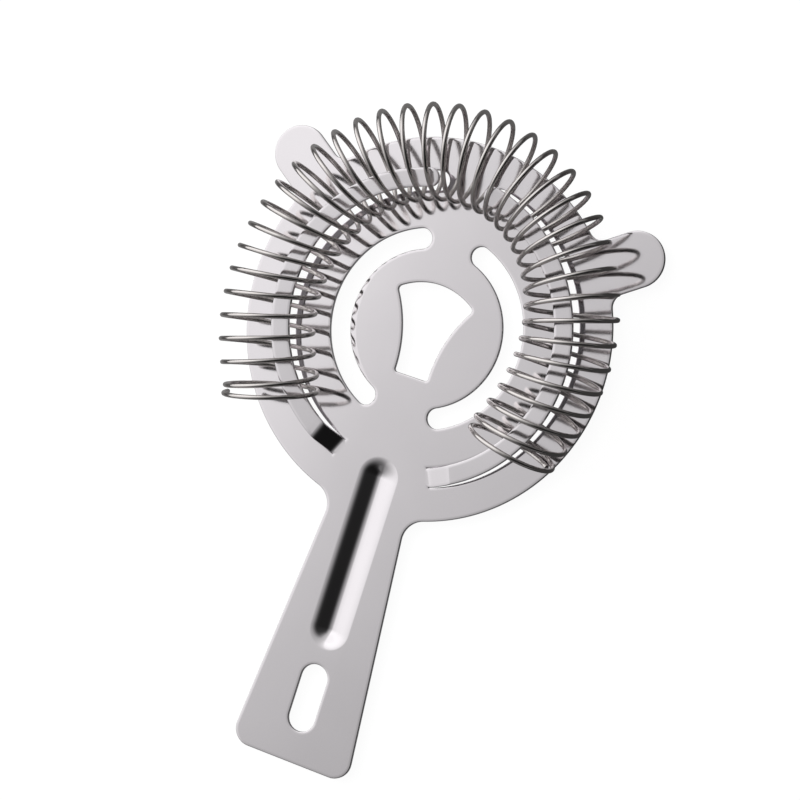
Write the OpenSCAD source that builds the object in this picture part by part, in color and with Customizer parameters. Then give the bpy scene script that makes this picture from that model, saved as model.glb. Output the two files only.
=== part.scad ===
// Bar strainer: one pressed steel plate with a handle, two ears and two raised tongues,
// and one wire spring whose turns are threaded on the tongues.
// Origin at the disc's centre on the spring side, +Y away from the handle, +Z towards the spring.
// Lengths are millimetres, angles are degrees.

/* [Sheet] */
// Thickness of the sheet that the plate is pressed from
sheet_t = 0.85; // [0.7:0.05:1.1]

/* [Disc and ears] */
// Radius of the disc
disc_r = 42; // [40:0.5:45]
// Height of each ear's middle line above the X axis
ear_angle = 35; // [30:1:40]
// Width of an ear
ear_w = 12.3; // [9:0.1:15]
// Reach of an ear's round end from the disc's centre
ear_reach = 55.4; // [53:0.1:60]
// Radius of the fillets between an ear and the disc
ear_fillet = 3; // [1.5:0.1:4]

/* [Handle] */
// Reach of the handle's end from the disc's centre
handle_reach = 100; // [92:1:120]
// Width of the handle where it crosses the disc's rim
neck_w = 18; // [15:0.5:22]
// Width of the handle at its end
handle_end_w = 29; // [23:0.5:34]
// Radius of the handle's two end corners
handle_corner = 4; // [2:0.5:8]
// Radius of the fillets between the handle and the disc
neck_fillet = 5; // [2:0.5:8]
// Width of the hanging slot
hang_slot_w = 6.3; // [4.5:0.1:9]
// Length of the hanging slot over its round ends
hang_slot_len = 15.4; // [11:0.2:18]
// Metal left between the hanging slot and the handle's end
hang_slot_margin = 7.1; // [4:0.1:9]

/* [Rib] */
// Width of the pressed groove on the spring side
rib_w = 7.4; // [5:0.2:9]
// Depth of the pressed groove
rib_depth = 1.6; // [0.8:0.1:2.2]
// Distance from the disc's centre to the groove's near end
rib_start = 30.5; // [27:0.5:36]
// Length of the groove over its round ends
rib_len = 42.5; // [30:0.5:44]

/* [Centre hole] */
// Radius of the arc along the top of the fan-shaped hole
fan_top_r = 15; // [12:0.5:18]
// Height of that arc above the disc's centre
fan_top_y = 10; // [7:0.5:12]
// Depth of the hole's straight bottom edge below the disc's centre
fan_bottom_y = 10.9; // [9:0.1:13]
// Width of the hole at its waist, where the sides run straight down
fan_waist_w = 8; // [6:0.2:10]
// Depth of the waist below the disc's centre
fan_waist_y = 10; // [8:0.5:11]
// Radius of the hole's two bowed sides
fan_side_r = 30; // [24:1:40]
// Radius of the hole's top corners
fan_top_corner = 1; // [0.5:0.1:1.5]
// Radius of the hole's bottom corners
fan_bottom_corner = 0.7; // [0.3:0.1:1.2]

/* [Arc slots] */
// Radius of the two arc slots' middle line
arc_slot_r = 19.8; // [18:0.1:21]
// Width of the arc slots
arc_slot_w = 4.6; // [4.2:0.1:5.5]
// Angle from the X axis up to the centre of a slot's upper end
arc_slot_up = 69; // [50:1:72]
// Angle from the X axis down to the centre of a slot's lower end
arc_slot_down = 64; // [45:1:68]

/* [Tongues] */
// Radius of the tongues' middle line
tongue_r = 32.5; // [32:0.1:33.5]
// Width of a tongue
tongue_w = 4.2; // [3.6:0.1:4.8]
// Angle from the +Y axis to the centre of a tongue's round tip
tongue_tip = 13.3; // [10:0.1:20]
// Angle from the -Y axis to the middle of the ramp that a tongue rises on
ramp_at = 24.7; // [22:0.1:28]
// Length of the ramp along the tongue
ramp_len = 5.3; // [4.8:0.1:6]
// Bend radius of the ramp, to the middle of the sheet
ramp_bend = 2.2; // [1.5:0.1:2.3]
// Tilt of a tongue, which rises towards its tip
tongue_tilt = 3.2; // [2.5:0.1:4]
// Room between the wire and the tongue's underside at its root
root_room = 0.9; // [0.8:0.05:1.5]
// Gap that the blade leaves beside a tongue
blade_gap = 0.07; // [0.05:0.01:0.15]
// Gap that opens at a tongue's tip as the tongue is raised
tip_gap = 0.3; // [0.2:0.05:0.8]

/* [Spring] */
// Diameter of the spring wire
wire_d = 1.05; // [0.9:0.05:1.2]
// Radius of a turn, to the middle of the wire
coil_r = 9.95; // [9.5:0.05:10.5]
// Number of turns, in eighths
turns = 36.875; // [34:0.125:38]
// Clearance between the wire and the plate below it
seat_gap = 0.25; // [0.15:0.05:0.4]
// Clearance between a turn's inner limb and the tongue's inner edge at the front
limb_gap = 0.5; // [0.4:0.05:0.8]
// Distance that the ring of turns lies outside the tongues' middle line at the sides
side_offset = 0.95; // [0.5:0.05:1.4]
// Shift of the ring away from the handle
ring_forward = 1.55; // [1:0.05:2]
// Shift of the ring towards +X
ring_aside = 1.05; // [0.5:0.05:1.5]
// Direction of the ring's long axis
ring_long_at = 79; // [75:1:85]
// Direction of the spring's middle turn
ring_middle_at = 90.8; // [88:0.1:94]
// Pitch of the turns at the front, as an angle round the disc's centre
front_pitch_angle = 6.65; // [6.4:0.05:6.8]
// Pitch of the turns at the left end, before the closed turn
left_pitch_angle = 8.8; // [8.4:0.05:9.2]
// Pitch of the turns at the right end, before the closed turn
right_pitch_angle = 7.75; // [7.4:0.05:8.1]
// Pitch of the closed turn at each end
closed_pitch_angle = 1.75; // [1.7:0.05:3]
// Distance that the last turn at each end stands further out than the ring
end_flare = 0.9; // [0:0.1:1.5]
// Direction in which the turns' planes stop swinging one way and start the other
swing_middle_at = 88; // [85:0.5:92]
// Swing of the turns' planes about their own upright axes, all over
swing_all_angle = -2.5; // [-4:0.5:0]
// Swing that grows evenly from the middle turn to each end
swing_even_angle = -29.5; // [-33:0.5:-26]
// Swing that grows with the cube of that distance
swing_end_angle = 46.5; // [42:0.5:51]
// Outward lean of the turns at the front, as a slope
front_lean_slope = 0.14; // [0.1:0.01:0.2]
// Outward lean of the turns at the sides, as a slope
side_lean_slope = 0.04; // [0:0.01:0.08]
// Lean of the turns along the ring, towards the left end, all over, as a slope
rake_all_slope = 0.02; // [0:0.01:0.05]
// Lean along the ring that grows evenly from the middle turn to each end
rake_even_slope = 0.01; // [-0.03:0.01:0.05]
// Lean along the ring that grows with the cube of that distance
rake_end_slope = 0.085; // [0.05:0.005:0.12]

/* [Hidden] */
$fn = 96;

// Larger than any length of the part, for half planes and for cutting right through
far = 300;
// Amount by which a round runs past the edge that it would only touch, so that the two cross
cross_by = 0.02;

// The handle's side as a straight line: half its width at the disc's centre, and its slope
handle_slope = (handle_end_w - neck_w) / 2 / (handle_reach - disc_r);
handle_half_w = neck_w / 2 - handle_slope * disc_r;
handle_taper = atan(handle_slope);

// The groove is a length of pipe with round ends, whose axis stands above the plate
rib_r = (rib_w * rib_w / 4 + rib_depth * rib_depth) / (2 * rib_depth);
rib_axis_z = rib_r - rib_depth;
rib_run = rib_len - rib_w;

// Heights of a tongue's underside: at its root, at the disc's centre line and at its tip
ramp_span = ramp_len / 2 / tongue_r * 180 / PI;
tongue_root_y = -tongue_r * cos(ramp_at + ramp_span);
tongue_inner_r = tongue_r - tongue_w / 2;
tongue_root_z = seat_gap + wire_d + root_room;
tongue_mid_z = tongue_root_z - tongue_root_y * tan(tongue_tilt);
tongue_tip_z = tongue_mid_z + tongue_inner_r * cos(tongue_tip) * tan(tongue_tilt);

// The ramp is an S: a bend up, a straight leg and a bend back, as steep as its length and rise ask
ramp_foot_y = -tongue_r * cos(ramp_at - ramp_span);
ramp_rise = tongue_mid_z + ramp_foot_y * tan(tongue_tilt) + sheet_t;
ramp_reach = norm([ramp_len, 2 * ramp_bend - ramp_rise]);
ramp_slope = atan2(ramp_len, 2 * ramp_bend - ramp_rise) - acos(2 * ramp_bend / ramp_reach);
ramp_lap = 0.5;
ramp_step_count = 6;
// Points along the middle of the ramp's sheet, each with the sheet's slope there
ramp_bend_slopes = [for (i = [0 : ramp_step_count]) ramp_slope * i / ramp_step_count];
ramp_foot = [-ramp_len / 2, sheet_t / 2 - ramp_rise];
ramp_head = [ramp_len / 2, sheet_t / 2];
ramp_path = [
    [ramp_foot[0] - ramp_lap, ramp_foot[1], 0],
    for (a = ramp_bend_slopes)
        [ramp_foot[0] + ramp_bend * sin(a), ramp_foot[1] + ramp_bend * (1 - cos(a)), a],
    for (i = [ramp_step_count : -1 : 0]) let (a = ramp_bend_slopes[i])
        [ramp_head[0] - ramp_bend * sin(a), ramp_head[1] - ramp_bend * (1 - cos(a)), a],
    [ramp_head[0] + ramp_lap, ramp_head[1], 0]
];

// The ring of turns: at the front a turn's inner limb just clears the tongue's inner edge
coil_z = seat_gap + wire_d / 2 + coil_r;
coil_clear_r = coil_r - wire_d / 2 - limb_gap;
tip_drop = coil_z - tongue_tip_z;
ring_front = tongue_inner_r + sqrt(coil_clear_r * coil_clear_r - tip_drop * tip_drop)
    + front_lean_slope * tip_drop;
ring_side = tongue_r + side_offset;
ring_oval = (ring_front - ring_side - ring_forward) / 2;

// Turns are counted from the left end. A turn is eight straight runs laid on its true circle.
run_count = 8;
run_half = 180 / run_count;
middle_turn = turns / 2;
closed_turns = 1;
closing_turns = 0.3;
flare_turns = 1.5;
open_half = middle_turn - closed_turns;
// Angle over which the swing and the rake are counted, from their middle to an end
swing_span_angle = 121;

// The wire's six sides enclose as much metal as the round wire
wire_side_count = 6;
wire_r = wire_d / 2 * sqrt(2 * PI / (wire_side_count * sin(360 / wire_side_count)));

steel = [0.77, 0.76, 0.77];
spring_steel = [0.45, 0.44, 0.43];

function unit(v) = v / norm(v);

// A point at two distances from two centres, on the left of the way from the first to the second
function meet(c1, r1, c2, r2) =
    let (d = norm(c2 - c1), along = (d * d + r1 * r1 - r2 * r2) / (2 * d), e = (c2 - c1) / d)
    c1 + along * e + sqrt(r1 * r1 - along * along) * [-e[1], e[0]];

// A straight ramp that eases into nought over a stretch of twice the given half width
function eased(v, half) = v <= -half ? v : v >= half ? 0 : -pow(half - v, 2) / (4 * half);

// Direction of the ring at turn u: the pitch goes smoothly from the left end to the right
function turn_angle(u) =
    let (
        m = (u - middle_turn) / open_half,
        bias = (right_pitch_angle - left_pitch_angle) / 2,
        spread = (right_pitch_angle + left_pitch_angle) / 2 - front_pitch_angle
    )
    ring_middle_at - open_half * (front_pitch_angle * m + bias * m * m / 2 + spread * m * m * m / 3)
        + (left_pitch_angle - closed_pitch_angle) * eased(u - closed_turns, closing_turns)
        - (right_pitch_angle - closed_pitch_angle) * eased(turns - closed_turns - u, closing_turns);

// Distance of the ring of turns from the disc's centre
function ring_r(a) =
    ring_side + ring_oval + ring_aside * cos(a) + ring_forward * sin(a)
        + ring_oval * cos(2 * (a - ring_long_at));

// How much further out a turn stands at either end of the spring
function turn_flare(u) =
    -end_flare * (eased(u - flare_turns, closing_turns) + eased(turns - flare_turns - u, closing_turns));

function turn_lean(r) =
    side_lean_slope + (front_lean_slope - side_lean_slope) * (r - ring_side) / (ring_front - ring_side);

// Share of the way from the middle of the swing to an end, negative towards the right
function swing_share(a) = (a - swing_middle_at) / swing_span_angle;

// Direction that a turn's plane points in, swung from straight outwards
function turn_way(a) =
    let (x = swing_share(a))
    a - swing_all_angle - swing_even_angle * x - swing_end_angle * x * x * x;

function turn_rake(a) =
    let (x = swing_share(a))
    rake_all_slope + rake_even_slope * x + rake_end_slope * x * x * x;

// A point at turn u, where r is the turn's radius there
function coil_point(u, r) =
    let (
        a = turn_angle(u),
        ring = ring_r(a) + turn_flare(u),
        way = turn_way(a),
        out = r * (cos(360 * u) + turn_lean(ring) * sin(360 * u)),
        along = r * turn_rake(a) * sin(360 * u)
    )
    [
        ring * cos(a) + out * cos(way) - along * sin(way),
        ring * sin(a) + out * sin(way) + along * cos(way),
        coil_z + r * sin(360 * u)
    ];

// The wire's path: a corner between each two runs, and an end in the middle of the first and last
corner_us = [for (i = [0 : turns * run_count - 1]) (i + 0.5) / run_count];
path = [
    coil_point(0, coil_r),
    for (u = corner_us) coil_point(u, coil_r / cos(run_half)),
    coil_point(turns, coil_r)
];
path_us = [0, each corner_us, turns];
last = len(path) - 1;

// Direction of the wire at each point, and the direction away from the turn's axis, square to it
function run_way(i) = unit(path[i + 1] - path[i]);
function wire_way(i) = unit(run_way(min(i, last - 1)) + run_way(max(i - 1, 0)));
function wire_out(i) =
    let (
        u = path_us[i],
        w = turn_way(turn_angle(u)),
        o = [cos(w) * cos(360 * u), sin(w) * cos(360 * u), sin(360 * u)],
        t = wire_way(i)
    )
    unit(o - (o * t) * t);

// Six corners of the wire round a point, drawn out at the bends so that the runs keep their thickness
function wire_ring(i) =
    let (
        o = wire_out(i),
        b = cross(wire_way(i), o),
        stretch = i == 0 || i == last ? 1 : 1 / cos(run_half)
    )
    [for (k = [0 : wire_side_count - 1])
        let (a = 360 / wire_side_count * (k + 0.5))
        path[i] + wire_r * (stretch * cos(a) * o + sin(a) * b)];

// Least gap of the wire to itself, on points half a run apart, more than half a turn away
gap_us = [for (i = [0 : turns * run_count * 2]) i / run_count / 2];
gap_points = [for (u = gap_us) coil_point(u, coil_r)];
least_gap = min([for (i = [0 : len(gap_points) - 1])
    for (j = [i + run_count + 2 : 1 : min(i + run_count * 4, len(gap_points) - 1)])
        norm(gap_points[j] - gap_points[i])]) - 2 * wire_r;
echo(str("least gap between turns of the spring, mm: ", least_gap));

// Half plane on the left of a line through the centre, moved to that side by s
module left_of(a, s = 0) {
    rotate(a) translate([-far, s]) square([2 * far, far]);
}

module ring(r, w) {
    difference() {
        circle(r = r + w / 2);
        circle(r = r - w / 2);
    }
}

// Fills the corner between a circle about the centre and an arm along +X,
// whose side starts at half_w and opens by taper. The fillet's own circle touches both.
module arm_fillet(circle_r, half_w, taper, fillet) {
    along = [cos(taper), sin(taper)];
    away = [-sin(taper), cos(taper)];
    offset = half_w * cos(taper) + fillet;
    centre = away * offset + along * sqrt(pow(circle_r + fillet, 2) - offset * offset);
    on_arm = centre - away * fillet;
    on_circle = centre * circle_r / (circle_r + fillet);
    inside = [on_circle[0] - fillet, on_arm[1] - fillet];
    for (s = [0, 1]) mirror([0, s]) difference() {
        polygon([on_circle, centre, on_arm, inside]);
        translate(centre) circle(r = fillet + cross_by);
    }
}

module ear_plan() {
    tip = ear_reach - ear_w / 2;
    translate([0, -ear_w / 2]) square([tip, ear_w]);
    translate([tip, 0]) circle(d = ear_w);
    arm_fillet(disc_r, ear_w / 2, 0, ear_fillet);
}

// The handle along +X: two straight sides that open towards a straight end with round corners
module handle_plan() {
    corner_x = handle_reach - handle_corner;
    corner_y = handle_half_w + handle_slope * corner_x - handle_corner / cos(handle_taper);
    side = [corner_x, corner_y] + handle_corner * [-sin(handle_taper), cos(handle_taper)];
    difference() {
        polygon([
            [0, -handle_half_w],
            [side[0], -side[1]],
            [handle_reach, -corner_y],
            [handle_reach, corner_y],
            side,
            [0, handle_half_w]
        ]);
        slot_end = handle_reach - hang_slot_margin - hang_slot_w / 2;
        slot_near = slot_end - hang_slot_len + hang_slot_w;
        translate([slot_near, -hang_slot_w / 2]) square([slot_end - slot_near, hang_slot_w]);
        for (x = [slot_near, slot_end]) translate([x, 0]) circle(d = hang_slot_w);
    }
    for (s = [-1, 1]) translate([corner_x, s * corner_y]) circle(r = handle_corner);
    arm_fillet(disc_r, handle_half_w, handle_taper, neck_fillet);
}

// What a rounded corner leaves out: a kite from its circle to well past the sharp tip
module corner_waste(centre, r, tip, touch_a, touch_b) {
    difference() {
        polygon([centre, touch_a, 2 * tip - centre, touch_b]);
        translate(centre) circle(r = r + cross_by);
    }
}

// The fan-shaped hole: an arc on top, two bowed sides, a straight bottom and four round corners
module fan_plan() {
    top_c = [0, fan_top_y - fan_top_r];
    side_c = [fan_waist_w / 2 + fan_side_r, -fan_waist_y];
    upper = meet(top_c, fan_top_r - fan_top_corner, side_c, fan_side_r + fan_top_corner);
    upper_tip = meet(top_c, fan_top_r, side_c, fan_side_r);
    upper_on_top = top_c + (upper - top_c) * fan_top_r / (fan_top_r - fan_top_corner);
    upper_on_side = side_c + (upper - side_c) * fan_side_r / (fan_side_r + fan_top_corner);
    lower_reach = fan_side_r + fan_bottom_corner;
    lower_y = fan_bottom_corner - fan_bottom_y;
    lower = [side_c[0] - sqrt(pow(lower_reach, 2) - pow(lower_y - side_c[1], 2)), lower_y];
    lower_tip = [side_c[0] - sqrt(pow(fan_side_r, 2) - pow(fan_bottom_y + side_c[1], 2)), -fan_bottom_y];
    lower_on_side = side_c + (lower - side_c) * fan_side_r / lower_reach;
    lower_on_bottom = [lower[0], -fan_bottom_y];
    difference() {
        intersection() {
            translate(top_c) circle(r = fan_top_r);
            translate([-far, -fan_bottom_y]) square([2 * far, far]);
        }
        for (s = [0, 1]) mirror([s, 0]) {
            translate(side_c) circle(r = fan_side_r);
            corner_waste(upper, fan_top_corner, upper_tip, upper_on_top, upper_on_side);
            corner_waste(lower, fan_bottom_corner, lower_tip, lower_on_bottom, lower_on_side);
        }
    }
}

// A ring slot with round ends between two angles
module arc_slot_plan() {
    intersection() {
        ring(arc_slot_r, arc_slot_w);
        left_of(-arc_slot_down);
        left_of(arc_slot_up + 180);
    }
    for (a = [-arc_slot_down, arc_slot_up])
        rotate(a) translate([arc_slot_r, 0]) circle(d = arc_slot_w + 2 * cross_by);
}

// A tongue's outline on the +X side, from the line at s along the ramp to its round tip
module tongue_plan(w, s, tip_angle) {
    intersection() {
        ring(tongue_r, w);
        left_of(ramp_at - 90, s);
        left_of(270 - tip_angle);
    }
    rotate(90 - tip_angle) translate([tongue_r, 0]) circle(d = w + 2 * cross_by);
}

module plate_plan() {
    difference() {
        union() {
            circle(r = disc_r);
            rotate(-90) handle_plan();
            rotate(ear_angle) ear_plan();
            rotate(180 - ear_angle) ear_plan();
        }
        fan_plan();
        for (s = [0, 1]) mirror([s, 0]) {
            arc_slot_plan();
            tongue_plan(tongue_w + 2 * blade_gap, -ramp_len / 2,
                tongue_tip - tip_gap / tongue_r * 180 / PI);
        }
    }
}

// A pipe's solid along the rib, with round ends
module rib_bar(r) {
    translate([0, -rib_start - rib_w / 2, rib_axis_z]) rotate([90, 0, 0]) {
        cylinder(r = r, h = rib_run);
        sphere(r = r);
        translate([0, 0, rib_run]) sphere(r = r);
    }
}

// Side view of the ramp, with its foot in the plate and its head in the tongue
module ramp_plan() {
    side = function(way) [for (p = ramp_path) [p[0], p[1]] + way * sheet_t / 2 * [-sin(p[2]), cos(p[2])]];
    lower = side(-1);
    polygon([each side(1), for (i = [len(lower) - 1 : -1 : 0]) lower[i]]);
}

module tongue() {
    translate([0, 0, tongue_mid_z]) rotate([tongue_tilt, 0, 0]) {
        linear_extrude(sheet_t) tongue_plan(tongue_w, ramp_len / 2, tongue_tip);
        intersection() {
            rotate([0, 0, ramp_at]) rotate([90, 0, 0])
                linear_extrude(tongue_r + tongue_w) ramp_plan();
            translate([0, 0, -far / 2]) linear_extrude(far) ring(tongue_r, tongue_w);
        }
    }
}

module strainer_plate() {
    color(steel) {
        difference() {
            union() {
                translate([0, 0, -sheet_t]) linear_extrude(sheet_t) plate_plan();
                intersection() {
                    rib_bar(rib_r + sheet_t);
                    translate([-far / 2, -far, -far]) cube([far, far, far - sheet_t / 2]);
                }
            }
            rib_bar(rib_r);
        }
        for (s = [0, 1]) mirror([s, 0, 0]) tongue();
    }
}

// One unbroken tube through all the wire's rings, closed by a fan of triangles at each end
module coil_spring() {
    count = len(path);
    sides = wire_side_count;
    points = [for (i = [0 : count - 1]) each wire_ring(i)];
    walls = [for (i = [0 : count - 2]) for (k = [0 : sides - 1])
        let (a = i * sides + k, b = i * sides + (k + 1) % sides)
        each [[a, a + sides, b], [b, a + sides, b + sides]]];
    start = [for (k = [1 : sides - 2]) [0, k, k + 1]];
    end = [for (k = [1 : sides - 2]) (count - 1) * sides * [1, 1, 1] + [0, k + 1, k]];
    color(spring_steel) polyhedron(points, concat(walls, start, end));
}

strainer_plate();
coil_spring();
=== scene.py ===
# Bar strainer: a pressed steel plate with two raised tongues, and the wire spring threaded on them
from math import acos, atan, atan2, ceil, cos, degrees, pi, radians, sin, sqrt, tan

import bmesh
import bpy
from mathutils import Matrix, Vector


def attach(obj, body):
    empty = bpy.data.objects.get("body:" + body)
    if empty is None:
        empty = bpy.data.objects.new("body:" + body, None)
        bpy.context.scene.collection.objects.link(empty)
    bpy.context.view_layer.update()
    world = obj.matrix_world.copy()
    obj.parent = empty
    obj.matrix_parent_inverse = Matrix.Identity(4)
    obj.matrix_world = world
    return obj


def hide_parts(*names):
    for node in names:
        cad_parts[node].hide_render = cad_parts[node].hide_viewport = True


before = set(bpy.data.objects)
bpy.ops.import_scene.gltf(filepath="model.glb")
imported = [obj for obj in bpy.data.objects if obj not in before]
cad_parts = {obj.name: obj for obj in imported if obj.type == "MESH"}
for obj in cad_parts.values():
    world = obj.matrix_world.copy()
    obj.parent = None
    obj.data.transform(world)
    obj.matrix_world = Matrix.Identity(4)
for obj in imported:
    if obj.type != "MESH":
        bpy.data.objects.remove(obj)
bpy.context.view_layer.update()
scene = bpy.context.scene
mm = 0.001


# Small helpers

def linear(hexColour):
    channels = [int(hexColour[i:i + 2], 16) / 255 for i in (1, 3, 5)]
    return [c / 12.92 if c <= 0.04045 else ((c + 0.055) / 1.055) ** 2.4 for c in channels] + [1]


# Adds a node, sets its properties and inputs, and links the inputs that are given as sockets
def addNode(tree, kind, inputs=None, **settings):
    node = tree.nodes.new(kind)
    for name, value in settings.items():
        setattr(node, name, value)
    for name, value in (inputs or {}).items():
        if isinstance(value, bpy.types.NodeSocket):
            tree.links.new(value, node.inputs[name])
        else:
            node.inputs[name].default_value = value
    return node


def newMaterial(name):
    material = bpy.data.materials.new(name)
    material.use_nodes = True
    material.node_tree.nodes.clear()
    return material


def newObject(name, bm, material):
    bmesh.ops.recalc_face_normals(bm, faces=bm.faces)
    mesh = bpy.data.meshes.new(name)
    bm.to_mesh(mesh)
    bm.free()
    mesh.shade_smooth()
    mesh.materials.append(material)
    piece = bpy.data.objects.new(name, mesh)
    scene.collection.objects.link(piece)
    return piece


def flat(a):
    return Vector((cos(a), sin(a)))


widestTurn = radians(9)     # between two points of an arc, however small


# Points of an arc from one point to another, with both ends
def arc(centre, start, end, way, step):
    centre = Vector(centre)
    a = atan2(*reversed(Vector(start) - centre))
    b = atan2(*reversed(Vector(end) - centre))
    sweep = (b - a) % (2 * pi) if way > 0 else -((a - b) % (2 * pi))
    r = (Vector(start) - centre).length
    count = max(2, ceil(abs(sweep) * r / step), ceil(abs(sweep) / widestTurn))
    return [centre + r * flat(a + sweep * i / count) for i in range(count + 1)]


def mirrored(points):
    return [Vector((-p[0], *p[1:])) for p in reversed(points)]


samePoint = 0.0001      # mm, points nearer than this are one


# Leaves out points that repeat the one before
def cleaned(points):
    return [p for i, p in enumerate(points) if (p - points[i - 1]).length > samePoint]


# A point at two distances from two centres, on the left of the way between them
def meet(c1, r1, c2, r2):
    span = c2 - c1
    d = span.length
    along = (d * d + r1 * r1 - r2 * r2) / (2 * d)
    e = span / d
    return c1 + along * e + sqrt(r1 * r1 - along * along) * Vector((-e[1], e[0]))


# Camera: the photographer stood above the handle's right side and looked down on the plate

camera = {
    "lens": 131.87, "sensor": 36, "nearest": 10,
    "at": (202.84, 25.63, 604.85),
    "right": (0.89645, 0.30367, -0.32274),
    "up": (-0.30846, 0.9505, 0.03753),
    "back": (0.31816, 0.06591, 0.94574),
}
cameraData = bpy.data.cameras.new("camera")
cameraData.sensor_width = camera["sensor"]
cameraData.lens = camera["lens"]
cameraData.clip_start = camera["nearest"] * mm
cameraObject = bpy.data.objects.new("camera", cameraData)
turn = Matrix([camera["right"], camera["up"], camera["back"]]).transposed()
cameraObject.matrix_world = Matrix.Translation(Vector(camera["at"]) * mm) @ turn.to_4x4()
scene.collection.objects.link(cameraObject)
scene.camera = cameraObject
print("camera placed")


# Stainless steel sheet, pressed and polished: it mirrors the room softly, with a faint rolled grain

sheetFinish = {
    "colour": "#E7E3E6",
    "darkColour": "#E0DCDF",
    "roughness": (0.06, 0.09),
    "grainPitch": 0.5,      # mm between rolling lines, drawn coarser than real so that they show
    "grainRun": (1, 0.03, 1),       # the lines are drawn out along the handle
    "grainDepth": 0.0004,   # mm
    "waveLength": 16,       # mm between the soft swells that pressing leaves
    "waveDepth": 0.004,     # mm
}


def buildSheetMaterial(finish):
    material = newMaterial("stainless sheet, pressed and polished")
    tree = material.node_tree
    place = addNode(tree, "ShaderNodeTexCoord").outputs["Object"]
    drawn = addNode(tree, "ShaderNodeMapping", {"Vector": place, "Scale": finish["grainRun"]})
    grain = addNode(tree, "ShaderNodeTexNoise", {
        "Vector": drawn.outputs["Vector"], "Scale": 1 / (finish["grainPitch"] * mm), "Detail": 3})
    cloud = addNode(tree, "ShaderNodeTexNoise", {
        "Vector": place, "Scale": 1 / (finish["waveLength"] * mm), "Detail": 2})
    tint = addNode(tree, "ShaderNodeValToRGB", {"Fac": cloud.outputs["Fac"]})
    tint.color_ramp.elements[0].color = linear(finish["darkColour"])
    tint.color_ramp.elements[1].color = linear(finish["colour"])
    low, high = finish["roughness"]
    rough = addNode(tree, "ShaderNodeMapRange", {
        "Value": grain.outputs["Fac"], "To Min": low, "To Max": high})
    wave = addNode(tree, "ShaderNodeBump", {
        "Height": cloud.outputs["Fac"], "Distance": finish["waveDepth"] * mm})
    line = addNode(tree, "ShaderNodeBump", {
        "Height": grain.outputs["Fac"], "Distance": finish["grainDepth"] * mm,
        "Normal": wave.outputs["Normal"]})
    steel = addNode(tree, "ShaderNodeBsdfPrincipled", {
        "Base Color": tint.outputs["Color"], "Metallic": 1, "Roughness": rough.outputs["Result"],
        "Normal": line.outputs["Normal"]})
    addNode(tree, "ShaderNodeOutputMaterial", {"Surface": steel.outputs["BSDF"]})
    return material


# Strainer plate: one sheet with a rounded rim, a pressed rib and two tongues lanced out of it

plate = {
    "sheet": 0.85,
    "edge": 0.12,           # radius that tumbling leaves on the cut edges
    "roll": 0.7,            # width of the strip that the punch draws down along a cut edge
    "rollDepth": 0.02,
    "slotRoll": 0.8,        # what the middle's left edge has more of both, enough to mirror the turns
    "slotRollDepth": 0.1,
    "slotRollAt": 194,      # degrees, where that is deepest, and how far it runs to each side
    "slotRollHalf": 42,
    "step": 0.5,            # spacing of points along an outline
    "discR": 42,
    "earAngle": 35, "earW": 12.3, "earReach": 55.4, "earFillet": 3,
    "handleReach": 100, "neckW": 18, "handleEndW": 29, "handleCorner": 4, "neckFillet": 5,
    "hangSlotW": 6.3, "hangSlotLen": 15.4, "hangSlotMargin": 7.1,
    "ribW": 7.4, "ribDepth": 1.6, "ribStart": 30.5, "ribLen": 42.5,
    "ribFlank": 29, "ribShoulder": 4, "ribBend": 3,
    "fanTopR": 15, "fanTopY": 10, "fanBottomY": 10.9, "fanWaistW": 8, "fanWaistY": 10, "fanSideR": 30,
    "fanTopCorner": 1, "fanBottomCorner": 0.7,
    "arcSlotR": 19.8, "arcSlotW": 4.6, "arcSlotUp": 69, "arcSlotDown": 64,
    "tongueR": 32.5, "tongueW": 4.2, "tongueTip": 13.3, "tongueTilt": 3.2, "tongueRootZ": 2.2,
    "tongueCant": (1.9, 0.3),   # degrees, right and left: how far the outer edge stands higher
    "rampAt": 24.7, "rampLen": 6, "rampBend": 2.6, "bladeGap": 0.07, "tipGap": 0.3,
    "bendSteps": 8, "ribEndSteps": 24, "tongueStrips": 3,
    "weld": 0.0005, "sliver": 0.0001,
}


# Where a fillet beside an arm along +X touches: its centre, the point on the arm and the one on the disc
def armFillet(discR, halfW, taper, fillet):
    away = Vector((-sin(taper), cos(taper)))
    offset = halfW * cos(taper) + fillet
    centre = away * offset + flat(taper) * sqrt((discR + fillet) ** 2 - offset * offset)
    return centre, centre - away * fillet, centre * discR / (discR + fillet)


def rotated(p, a):
    return Vector((p[0] * cos(a) - p[1] * sin(a), p[0] * sin(a) + p[1] * cos(a)))


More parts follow.
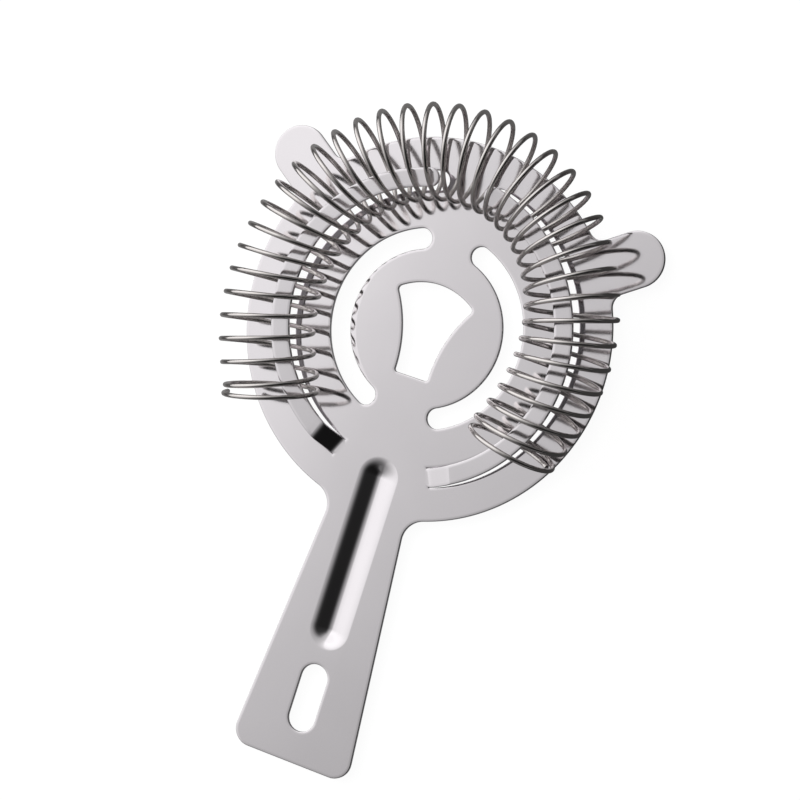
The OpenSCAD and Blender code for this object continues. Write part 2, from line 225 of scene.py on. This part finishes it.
def plateOutline(p):
    step = p["step"]
    slope = (p["handleEndW"] - p["neckW"]) / 2 / (p["handleReach"] - p["discR"])
    halfW = p["neckW"] / 2 - slope * p["discR"]
    taper = atan(slope)
    corner = p["handleCorner"]
    cornerX = p["handleReach"] - corner
    cornerY = halfW + slope * cornerX - corner / cos(taper)
    down = -pi / 2
    endCorner = rotated((cornerX, cornerY), down)
    neck = [rotated(q, down) for q in armFillet(p["discR"], halfW, taper, p["neckFillet"])]
    lean = radians(p["earAngle"])
    ear = armFillet(p["discR"], p["earW"] / 2, 0, p["earFillet"])
    below = [rotated((q[0], -q[1]), lean) for q in ear]
    above = [rotated(q, lean) for q in ear]
    tip = p["earReach"] - p["earW"] / 2
    tipLow = rotated((tip, -p["earW"] / 2), lean)
    tipHigh = rotated((tip, p["earW"] / 2), lean)
    half = [
        Vector((0, -p["handleReach"])),
        *arc(endCorner, endCorner + Vector((0, -corner)), endCorner + corner * flat(taper), 1, step),
        *arc(neck[0], neck[1], neck[2], -1, step),
        *arc((0, 0), neck[2], below[2], 1, step),
        *arc(below[0], below[2], below[1], -1, step),
        *arc(tip * flat(lean), tipLow, tipHigh, 1, step),
        *arc(above[0], above[1], above[2], -1, step),
        *arc((0, 0), above[2], (0, p["discR"]), 1, step),
    ]
    return cleaned(half + mirrored(half))


def fanOutline(p):
    step = p["step"]
    topC = Vector((0, p["fanTopY"] - p["fanTopR"]))
    sideC = Vector((p["fanWaistW"] / 2 + p["fanSideR"], -p["fanWaistY"]))
    topCorner, sideR = p["fanTopCorner"], p["fanSideR"]
    upper = meet(topC, p["fanTopR"] - topCorner, sideC, sideR + topCorner)
    upperOnTop = topC + (upper - topC).normalized() * p["fanTopR"]
    upperOnSide = sideC + (upper - sideC).normalized() * sideR
    reach = sideR + p["fanBottomCorner"]
    lowerY = p["fanBottomCorner"] - p["fanBottomY"]
    lower = Vector((sideC[0] - sqrt(reach ** 2 - (lowerY - sideC[1]) ** 2), lowerY))
    lowerOnSide = sideC + (lower - sideC).normalized() * sideR
    half = [
        Vector((0, -p["fanBottomY"])),
        *arc(lower, (lower[0], -p["fanBottomY"]), lowerOnSide, 1, step),
        *arc(sideC, lowerOnSide, upperOnSide, -1, step),
        *arc(upper, upperOnSide, upperOnTop, 1, step),
        *arc(topC, upperOnTop, (0, p["fanTopY"]), 1, step),
    ]
    return cleaned(half + mirrored(half))


def arcSlotOutline(p):
    step = p["step"]
    low, high = radians(-p["arcSlotDown"]), radians(p["arcSlotUp"])
    inner, outer = p["arcSlotR"] - p["arcSlotW"] / 2, p["arcSlotR"] + p["arcSlotW"] / 2
    return cleaned([
        *arc((0, 0), outer * flat(low), outer * flat(high), 1, step),
        *arc(p["arcSlotR"] * flat(high), outer * flat(high), inner * flat(high), 1, step),
        *arc((0, 0), inner * flat(high), inner * flat(low), -1, step),
        *arc(p["arcSlotR"] * flat(low), inner * flat(low), outer * flat(low), 1, step),
    ])


def hangSlotOutline(p):
    r = p["hangSlotW"] / 2
    end = p["handleReach"] - p["hangSlotMargin"] - r
    near = end - p["hangSlotLen"] + 2 * r
    return cleaned([
        *arc((0, -end), (-r, -end), (r, -end), 1, p["step"]),
        *arc((0, -near), (r, -near), (-r, -near), 1, p["step"]),
    ])


# The ramp's upper face: how far along and what share of the rise, from its foot to its head
def rampProfile(p, rise):
    half, bend, steps = p["rampLen"] / 2, p["rampBend"], p["bendSteps"]
    reach = sqrt(p["rampLen"] ** 2 + (2 * bend - rise) ** 2)
    slope = atan2(p["rampLen"], 2 * bend - rise) - acos(2 * bend / reach)
    turns = [slope * i / steps for i in range(steps + 1)]
    skin = p["sheet"] / 2
    foot = [(-half + (bend - skin) * sin(a), (bend - skin) * (1 - cos(a))) for a in turns]
    head = [(half - (bend + skin) * sin(a), rise - (bend + skin) * (1 - cos(a))) for a in reversed(turns)]
    return [(s, z / rise) for s, z in foot + head]


# Stations of the right tongue from its foot to its tip, each with its outer and its inner edge point
def tongueStations(p, cant):
    middle = radians(p["rampAt"] - 90)
    along, across = flat(middle + pi / 2), flat(middle)
    outer, inner = p["tongueR"] + p["tongueW"] / 2, p["tongueR"] - p["tongueW"] / 2
    tilt = tan(radians(p["tongueTilt"]))
    span = p["rampLen"] / 2 / p["tongueR"]
    rootY = -p["tongueR"] * cos(radians(p["rampAt"]) + span)
    topAtCentre = p["tongueRootZ"] - rootY * tilt + p["sheet"]
    rise = topAtCentre - p["tongueR"] * cos(radians(p["rampAt"]) - span) * tilt

    def lifted(q, share):
        height = topAtCentre + q[1] * tilt + (q.length - p["tongueR"]) * tan(cant)
        return Vector((q[0], q[1], share * height))

    stations = []
    for s, share in rampProfile(p, rise):
        edges = [along * s + across * sqrt(r * r - s * s) for r in (outer, inner)]
        stations.append([lifted(q, share) for q in edges])
    tip = radians(90 - p["tongueTip"])
    start = middle + 1.5 * span     # a little past the ramp's head
    count = ceil((tip - start) * p["tongueR"] / p["step"] / 2)
    for i in range(count + 1):
        way = flat(start + (tip - start) * i / count)
        stations.append([lifted(way * r, 1) for r in (outer, inner)])
    cap = arc(p["tongueR"] * flat(tip), outer * flat(tip), inner * flat(tip), 1, p["step"] / 2)
    return stations, [lifted(q, 1) for q in cap[1:-1]]


# The right window from its inner corner at the root round to its outer corner, metal on the left
def windowEdge(p):
    middle = radians(p["rampAt"] - 90)
    along, across = flat(middle + pi / 2), flat(middle)
    foot = -p["rampLen"] / 2
    outer = p["tongueR"] + p["tongueW"] / 2 + p["bladeGap"]
    inner = p["tongueR"] - p["tongueW"] / 2 - p["bladeGap"]
    corners = [along * foot + across * sqrt(r * r - foot * foot) for r in (inner, outer)]
    tip = radians(90 - p["tongueTip"]) + p["tipGap"] / p["tongueR"]
    return cleaned([
        *arc((0, 0), corners[0], inner * flat(tip), 1, p["step"]),
        *arc(p["tongueR"] * flat(tip), inner * flat(tip), outer * flat(tip), -1, p["step"] / 2),
        *arc((0, 0), outer * flat(tip), corners[1], -1, p["step"]),
    ])


up = Vector((0, 0, 1))


# A rim's section from above to below: how far in from the edge, and how deep
def rimLevels(p, extra):
    t, e = p["sheet"], p["edge"]
    w, d = p["roll"] + extra * p["slotRoll"], p["rollDepth"] + extra * p["slotRollDepth"]
    part = e * (1 - sqrt(0.5))
    levels = [(e + (w - e) * (1 - k), d * k * k) for k in (0, 0.2, 0.4, 0.6, 0.8, 1)]
    return levels + [(part, d + part), (0, d + e), (0, t - e), (part, t - part), (e, t)]


# A rim along a closed edge with metal on its left: drawn down by the punch above, rounded above and below.
# Returns its upper and its lower vertices.
def rim(bm, points, normals, extras, p):
    rings = []
    for i, point in enumerate(points):
        ahead = points[(i + 1) % len(points)] - point
        behind = point - points[i - 1]
        outs = [v.cross(normals[i]).normalized() for v in (behind, ahead)]
        out = (outs[0] + outs[1]) / (1 + outs[0].dot(outs[1]))
        rings.append([bm.verts.new((point - out * inset - normals[i] * depth) * mm)
                      for inset, depth in rimLevels(p, extras[i])])
    for i, ring in enumerate(rings):
        before = rings[i - 1]
        for k in range(len(ring) - 1):
            bm.faces.new((before[k], before[k + 1], ring[k + 1], ring[k]))
    return [ring[0] for ring in rings], [ring[-1] for ring in rings]


# The rib's section from its shoulder to its middle line: distance from that line, height and slope.
# A soft shoulder runs into a straight flank, and the flank into a tighter bend along the bottom.
def ribProfile(p):
    shoulder, bend, flank = p["ribShoulder"], p["ribBend"], radians(p["ribFlank"])
    straight = (p["ribDepth"] - (shoulder + bend) * (1 - cos(flank))) / sin(flank)
    start = (shoulder + bend) * sin(flank) + straight * cos(flank)
    steps = p["bendSteps"]
    turns = [flank * i / steps for i in range(steps + 1)]
    upper = [(start - shoulder * sin(a), -shoulder * (1 - cos(a)), a) for a in turns]
    lower = [(bend * sin(a), bend * (1 - cos(a)) - p["ribDepth"], a) for a in reversed(turns)]
    middle = [((upper[-1][0] + lower[0][0]) / 2, (upper[-1][1] + lower[0][1]) / 2, flank)]
    return upper + middle + lower


def buildRib(bm, p):
    near = -p["ribStart"] - p["ribW"] / 2
    far = near - p["ribLen"] + p["ribW"]
    steps = p["ribEndSteps"]
    ends = []
    for y, first in ((near, 0), (far, 180)):
        ends += [(y, radians(first + 180 * i / steps)) for i in range(steps + 1)]
    layers = []
    for depth in (0, p["sheet"]):
        rings = []
        for rho, z, slope in ribProfile(p):
            reach, low = rho + depth * sin(slope), z - depth * cos(slope)
            ring = [Vector((reach * cos(a), y + reach * sin(a), low)) for y, a in ends]
            rings.append([bm.verts.new(q * mm) for q in ring])
        for a, b in zip(rings, rings[1:]):
            for i in range(len(ends)):
                bm.faces.new((a[i - 1], a[i], b[i], b[i - 1]))
        layers.append(rings)
    return layers[0][0], layers[1][0]


# One tongue with its window: the rim runs round both, and the strip between its edges is a grid
def buildTongue(bm, p, side):
    right, left = p["tongueCant"]
    stations, cap = tongueStations(p, radians(right if side > 0 else left))
    window = [q.to_3d() for q in windowEdge(p)]
    outerEdge = [s[0] for s in stations]
    innerEdge = [s[1] for s in stations]
    edge = window + outerEdge + cap + innerEdge[::-1]
    skew = []
    for i, station in enumerate(stations):
        ahead = stations[min(i + 1, len(stations) - 1)]
        behind = stations[max(i - 1, 0)]
        run = (ahead[0] + ahead[1] - behind[0] - behind[1]) / 2
        skew.append((station[0] - station[1]).cross(run).normalized())
    skew[0] = up
    normals = [up] * len(window) + skew + [skew[-1]] * len(cap) + skew[::-1]
    if side < 0:
        edge = mirrored(edge)
        normals = mirrored(normals)
    layers = []
    for rimVerts in rim(bm, edge, normals, [0] * len(edge), p):
        if side < 0:
            rimVerts = rimVerts[::-1]
        w, n, c = len(window), len(stations), len(cap)
        outs = rimVerts[w:w + n]
        tipVerts = rimVerts[w + n:w + n + c]
        ins = rimVerts[w + n + c:][::-1]
        rows = []
        strips = p["tongueStrips"]
        for a, b in zip(outs, ins):
            rows.append([a, *[bm.verts.new(a.co.lerp(b.co, k / strips)) for k in range(1, strips)], b])
        for a, b in zip(rows, rows[1:]):
            for k in range(strips):
                bm.faces.new((a[k], a[k + 1], b[k + 1], b[k]))
        bm.faces.new(rows[-1][::-1] + tipVerts)
        layers.append(rimVerts[:w] + rows[0])
    return layers


# How much of the extra roll a point of the left arc slot has, from none to all of it
def slotRollShare(q, p):
    deepest, fade = flat(radians(p["slotRollAt"])), cos(radians(p["slotRollHalf"]))
    inward = 2 * max(0, p["arcSlotR"] - q.length) / p["arcSlotW"]
    return inward * (max(0, q.normalized().dot(deepest) - fade) / (1 - fade))


def buildPlate(p):
    bm = bmesh.new()
    leftSlot = mirrored(arcSlotOutline(p))[::-1]
    loops = [
        plateOutline(p),
        fanOutline(p)[::-1],
        arcSlotOutline(p)[::-1],
        leftSlot,
        hangSlotOutline(p)[::-1],
    ]
    faces = []
    for loop in loops:
        extras = [slotRollShare(q, p) if loop is leftSlot else 0 for q in loop]
        faces.append(rim(bm, [q.to_3d() for q in loop], [up] * len(loop), extras, p))
    faces.append(buildRib(bm, p))
    for side in (1, -1):
        faces.append(buildTongue(bm, p, side))
    for layer, way in ((0, up), (1, -up)):
        edges = []
        for pair in faces:
            verts = pair[layer]
            for i, v in enumerate(verts):
                edges.append(bm.edges.get((verts[i - 1], v)) or bm.edges.new((verts[i - 1], v)))
        bmesh.ops.triangle_fill(bm, use_beauty=True, use_dissolve=False, edges=edges, normal=way)
    bmesh.ops.remove_doubles(bm, verts=bm.verts, dist=p["weld"] * mm)
    bmesh.ops.dissolve_degenerate(bm, dist=p["sliver"] * mm, edges=bm.edges)
    return bm


strainerPlate = newObject("strainerPlate", buildPlate(plate), buildSheetMaterial(sheetFinish))
weighted = strainerPlate.modifiers.new("even shading", "WEIGHTED_NORMAL")
weighted.weight = 100
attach(strainerPlate, "plate")
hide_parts("strainer_plate")
print("plate:", len(strainerPlate.data.polygons), "faces")


# Stainless spring wire, cold drawn: it mirrors the dim room round it, so it looks darker than the sheet

wireFinish = {
    "colour": "#DFDAD8",
    "darkColour": "#D5D0CE",
    "roughness": (0.14, 0.2),
    "grainPitch": 0.12,     # mm between the marks that the die leaves, coarser than real
    "grainDepth": 0.0001,   # mm
    "stainSize": 5,         # mm across a patch that is a little duller
}


def buildWireMaterial(finish):
    material = newMaterial("stainless spring wire, cold drawn")
    tree = material.node_tree
    place = addNode(tree, "ShaderNodeTexCoord").outputs["Object"]
    stain = addNode(tree, "ShaderNodeTexNoise", {
        "Vector": place, "Scale": 1 / (finish["stainSize"] * mm), "Detail": 3})
    grain = addNode(tree, "ShaderNodeTexNoise", {
        "Vector": place, "Scale": 1 / (finish["grainPitch"] * mm), "Detail": 1})
    tint = addNode(tree, "ShaderNodeValToRGB", {"Fac": stain.outputs["Fac"]})
    tint.color_ramp.elements[0].color = linear(finish["darkColour"])
    tint.color_ramp.elements[1].color = linear(finish["colour"])
    low, high = finish["roughness"]
    rough = addNode(tree, "ShaderNodeMapRange", {
        "Value": stain.outputs["Fac"], "To Min": low, "To Max": high})
    bump = addNode(tree, "ShaderNodeBump", {
        "Height": grain.outputs["Fac"], "Distance": finish["grainDepth"] * mm})
    steel = addNode(tree, "ShaderNodeBsdfPrincipled", {
        "Base Color": tint.outputs["Color"], "Metallic": 1, "Roughness": rough.outputs["Result"],
        "Normal": bump.outputs["Normal"]})
    addNode(tree, "ShaderNodeOutputMaterial", {"Surface": steel.outputs["BSDF"]})
    return material


# Coil spring: one wire wound right-handed into an oval ring of leaning, swung turns

spring = {
    "wireD": 1.05, "coilR": 9.95, "turns": 36.875,
    "seatGap": 0.25, "ringSide": 33.45, "ringFront": 38.33, "ringForward": 1.55, "ringAside": 1.05,
    "longAt": 79, "middleAt": 90.8,
    "frontPitch": 6.65, "leftPitch": 8.8, "rightPitch": 7.75, "closedPitch": 1.75, "closing": 0.3,
    "endFlare": 0.9, "flareTurns": 1.5,
    "swingMiddle": 88, "swingSpan": 121, "swingAll": -2.5, "swingEven": -29.5, "swingEnd": 46.5,
    "frontLean": 0.14, "sideLean": 0.04, "rakeAll": 0.02, "rakeEven": 0.01, "rakeEnd": 0.085,
    "rings": 48, "sides": 14,   # of the drawn tube, for each turn and round the wire
    "endRound": 0.1,
}


# A ramp that runs up to 0 and stays there, with its corner rounded over half on each side
def eased(v, half):
    if v <= -half:
        return v
    return 0 if v >= half else -(half - v) ** 2 / (4 * half)


# Direction of the ring at a turn, counted from the left end
def turnAngle(u, s):
    middle = s["turns"] / 2
    openHalf = middle - 1
    m = (u - middle) / openHalf
    bias = (s["rightPitch"] - s["leftPitch"]) / 2
    spread = (s["rightPitch"] + s["leftPitch"]) / 2 - s["frontPitch"]
    return radians(
        s["middleAt"] - openHalf * (s["frontPitch"] * m + bias * m * m / 2 + spread * m ** 3 / 3)
        + (s["leftPitch"] - s["closedPitch"]) * eased(u - 1, s["closing"])
        - (s["rightPitch"] - s["closedPitch"]) * eased(s["turns"] - 1 - u, s["closing"]))


# Middle of the wire at a turn, and the direction there away from the turn's axis
def wirePoint(u, s):
    a = turnAngle(u, s)
    oval = (s["ringFront"] - s["ringSide"] - s["ringForward"]) / 2
    ring = (s["ringSide"] + oval + s["ringAside"] * cos(a) + s["ringForward"] * sin(a)
            + oval * cos(2 * (a - radians(s["longAt"]))))
    lean = (s["sideLean"] + (s["frontLean"] - s["sideLean"])
            * (ring - s["ringSide"]) / (s["ringFront"] - s["ringSide"]))
    ring -= s["endFlare"] * (eased(u - s["flareTurns"], s["closing"])
                             + eased(s["turns"] - s["flareTurns"] - u, s["closing"]))
    x = (degrees(a) - s["swingMiddle"]) / s["swingSpan"]
    way = a - radians(s["swingAll"] + s["swingEven"] * x + s["swingEnd"] * x ** 3)
    c, d = cos(2 * pi * u), sin(2 * pi * u)
    rake = s["rakeAll"] + s["rakeEven"] * x + s["rakeEnd"] * x ** 3
    out, along = s["coilR"] * (c + lean * d), s["coilR"] * rake * d
    height = s["seatGap"] + s["wireD"] / 2 + s["coilR"] * (1 + d)
    middle = ring * flat(a) + out * flat(way) + along * flat(way + pi / 2)
    return middle.to_3d() + height * up, (c * flat(way)).to_3d() + d * up


def buildSpring(s):
    bm = bmesh.new()
    r, soft = s["wireD"] / 2, s["endRound"]
    count = ceil(s["turns"] * s["rings"])
    us = [s["turns"] * i / count for i in range(count + 1)]
    path = [(*wirePoint(u, s), r) for u in us]
    start = (path[0][0] - path[1][0]).normalized()
    finish = (path[-1][0] - path[-2][0]).normalized()
    first, last = path[0], path[-1]
    path = ([(first[0] + start * soft, first[1], r - soft)] + path
            + [(last[0] + finish * soft, last[1], r - soft)])
    rings = []
    for i, (point, out, size) in enumerate(path):
        run = (path[min(i + 1, len(path) - 1)][0] - path[max(i - 1, 0)][0]).normalized()
        out = (out - run * out.dot(run)).normalized()
        beside = run.cross(out)
        rings.append([bm.verts.new((point + size * (cos(a) * out + sin(a) * beside)) * mm)
                      for a in [2 * pi * k / s["sides"] for k in range(s["sides"])]])
    for a, b in zip(rings, rings[1:]):
        for k in range(s["sides"]):
            bm.faces.new((a[k - 1], a[k], b[k], b[k - 1]))
    bm.faces.new(rings[0])
    bm.faces.new(rings[-1])
    return bm


coilSpring = newObject("coilSpring", buildSpring(spring), buildWireMaterial(wireFinish))
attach(coilSpring, "spring")
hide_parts("coil_spring")
print("spring:", len(coilSpring.data.polygons), "faces")


# Studio: a pale floor under the rib, and a light tent that is bright on the left and dark on the right

studio = {
    "floorZ": -2.45, "floorSize": 6000, "floorColour": "#F4F4F4",
    "floorGlow": 0.85,              # share of the paper's own glow in what the camera sees
    "glowStrength": 1.12,
    "mirroredGlow": (0.28, 0.05),   # the paper as the steel mirrors it: dim, and darker on the right
    "mirroredSpan": (-55, 50),      # mm, from left to right
    "mirroredEnd": (-85, -52),      # mm, where it fades on the left
    "mirroredFar": 0.1,             # what is left of it beyond
    "tentAcross": (1, -0.15, 0),    # the way the tent darkens, level and towards the handle's right
    "acrossStops": [(-1, 1.06), (-0.5, 1.08), (-0.378, 1.03), (-0.35, 1.01), (-0.33, 0.87), (-0.313, 0.79),
                    (-0.265, 0.7), (-0.2, 0.59), (0, 0.43), (0.13, 0.26), (0.27, 0.11), (0.42, 0.04),
                    (1, 0.023)],
    "tentAlong": (-0.35, 1, 0),     # it also darkens towards the end of the handle
    "alongStops": [(-1, 0.15), (-0.55, 0.35), (-0.2, 0.68), (-0.085, 0.8), (0, 0.92), (0.1, 1),
                   (0.175, 1.07), (0.4, 1.2), (0.65, 1.25), (0.85, 1.15), (0.95, 0.8), (1, 0.6)],
    "wallLevel": 0.18, "wallFrom": (0.24, 0.36),    # the room's walls, low beyond the tent's two ends
    "keyPower": 3, "keySize": 0.6, "keyAt": (-0.75, 0.2, 0.45),     # watts and metres
}


# Paper that the camera sees as white: most of what it sees is a glow, the rest keeps the shadows.
# In the steel it is mirrored as a dim glow.
def buildFloor(s):
    material = newMaterial("paper sweep, matt white")
    tree = material.node_tree
    rays = addNode(tree, "ShaderNodeLightPath").outputs
    share = addNode(tree, "ShaderNodeMath", {
        0: rays["Is Camera Ray"], 1: s["floorGlow"], 2: rays["Is Glossy Ray"]}, operation="MULTIPLY_ADD")
    place = addNode(tree, "ShaderNodeTexCoord").outputs["Object"]
    across = addNode(tree, "ShaderNodeSeparateXYZ", {"Vector": place}).outputs["X"]
    left, right = s["mirroredSpan"]
    dim = addNode(tree, "ShaderNodeMapRange", {
        "Value": across, "From Min": left * mm, "From Max": right * mm,
        "To Min": s["mirroredGlow"][0], "To Max": s["mirroredGlow"][1]})
    end, full = s["mirroredEnd"]
    fade = addNode(tree, "ShaderNodeMapRange", {
        "Value": across, "From Min": end * mm, "From Max": full * mm,
        "To Min": s["mirroredFar"], "To Max": dim.outputs["Result"]})
    level = addNode(tree, "ShaderNodeMapRange", {
        "Value": rays["Is Camera Ray"], "To Min": fade.outputs["Result"], "To Max": s["glowStrength"]})
    paper = addNode(tree, "ShaderNodeBsdfDiffuse", {"Color": linear(s["floorColour"])})
    glow = addNode(tree, "ShaderNodeEmission", {"Color": (1, 1, 1, 1), "Strength": level.outputs["Result"]})
    both = addNode(tree, "ShaderNodeMixShader", {
        0: share.outputs[0], 1: paper.outputs[0], 2: glow.outputs[0]})
    addNode(tree, "ShaderNodeOutputMaterial", {"Surface": both.outputs[0]})
    bm = bmesh.new()
    bmesh.ops.create_grid(bm, x_segments=1, y_segments=1, size=s["floorSize"] / 2 * mm)
    floor = newObject("floor", bm, material)
    floor.location.z = s["floorZ"] * mm


# The steel mirrors the tent, and the camera sees white behind the paper
def buildTent(s):
    world = bpy.data.worlds.new("light tent")
    scene.world = world
    world.use_nodes = True
    tree = world.node_tree
    tree.nodes.clear()
    way = addNode(tree, "ShaderNodeTexCoord").outputs["Generated"]
    shades = []
    for direction, levels in ((s["tentAcross"], s["acrossStops"]), (s["tentAlong"], s["alongStops"])):
        along = addNode(tree, "ShaderNodeVectorMath", {0: way, 1: direction}, operation="DOT_PRODUCT")
        place = addNode(tree, "ShaderNodeMapRange", {
            "Value": along.outputs["Value"], "From Min": -1, "From Max": 1, "To Min": 0, "To Max": 1})
        shade = addNode(tree, "ShaderNodeValToRGB", {"Fac": place.outputs["Result"]})
        stops = shade.color_ramp.elements
        while len(stops) < len(levels):
            stops.new(0.5)
        for stop, (x, level) in zip(stops, levels):
            stop.position = (x + 1) / 2
            stop.color = [level] * 3 + [1]
        shades.append(shade.outputs["Color"])
    shade = addNode(tree, "ShaderNodeVectorMath", {0: shades[0], 1: shades[1]}, operation="MULTIPLY")
    part = addNode(tree, "ShaderNodeSeparateXYZ", {"Vector": way}).outputs
    far = addNode(tree, "ShaderNodeMath", {0: part["Y"]}, operation="ABSOLUTE")
    aside = addNode(tree, "ShaderNodeMath", {0: far.outputs[0], 1: part["Z"]}, operation="SUBTRACT")
    start, full = s["wallFrom"]
    wall = addNode(tree, "ShaderNodeMapRange", {
        "Value": aside.outputs[0], "From Min": start, "From Max": full,
        "To Min": 0, "To Max": s["wallLevel"]})
    shade = addNode(tree, "ShaderNodeVectorMath", {
        0: shade.outputs["Vector"], 1: wall.outputs["Result"]}, operation="MAXIMUM")
    rays = addNode(tree, "ShaderNodeLightPath").outputs
    tent = addNode(tree, "ShaderNodeBackground", {"Color": shade.outputs["Vector"], "Strength": 1})
    white = addNode(tree, "ShaderNodeBackground", {"Color": (1, 1, 1, 1), "Strength": 1})
    both = addNode(tree, "ShaderNodeMixShader", {
        0: rays["Is Camera Ray"], 1: tent.outputs[0], 2: white.outputs[0]})
    addNode(tree, "ShaderNodeOutputWorld", {"Surface": both.outputs[0]})


# The softbox only gives the shadow on the paper: the steel doesn't mirror it
def buildKey(s):
    lamp = bpy.data.lights.new("key softbox", "AREA")
    lamp.size = s["keySize"]
    lamp.energy = s["keyPower"]
    key = bpy.data.objects.new("key softbox", lamp)
    key.location = s["keyAt"]
    key.rotation_euler = Vector(s["keyAt"]).to_track_quat("Z", "Y").to_euler()
    key.visible_glossy = False
    scene.collection.objects.link(key)


buildFloor(studio)
buildTent(studio)
buildKey(studio)
scene.view_settings.view_transform = "Standard"
print("studio built")
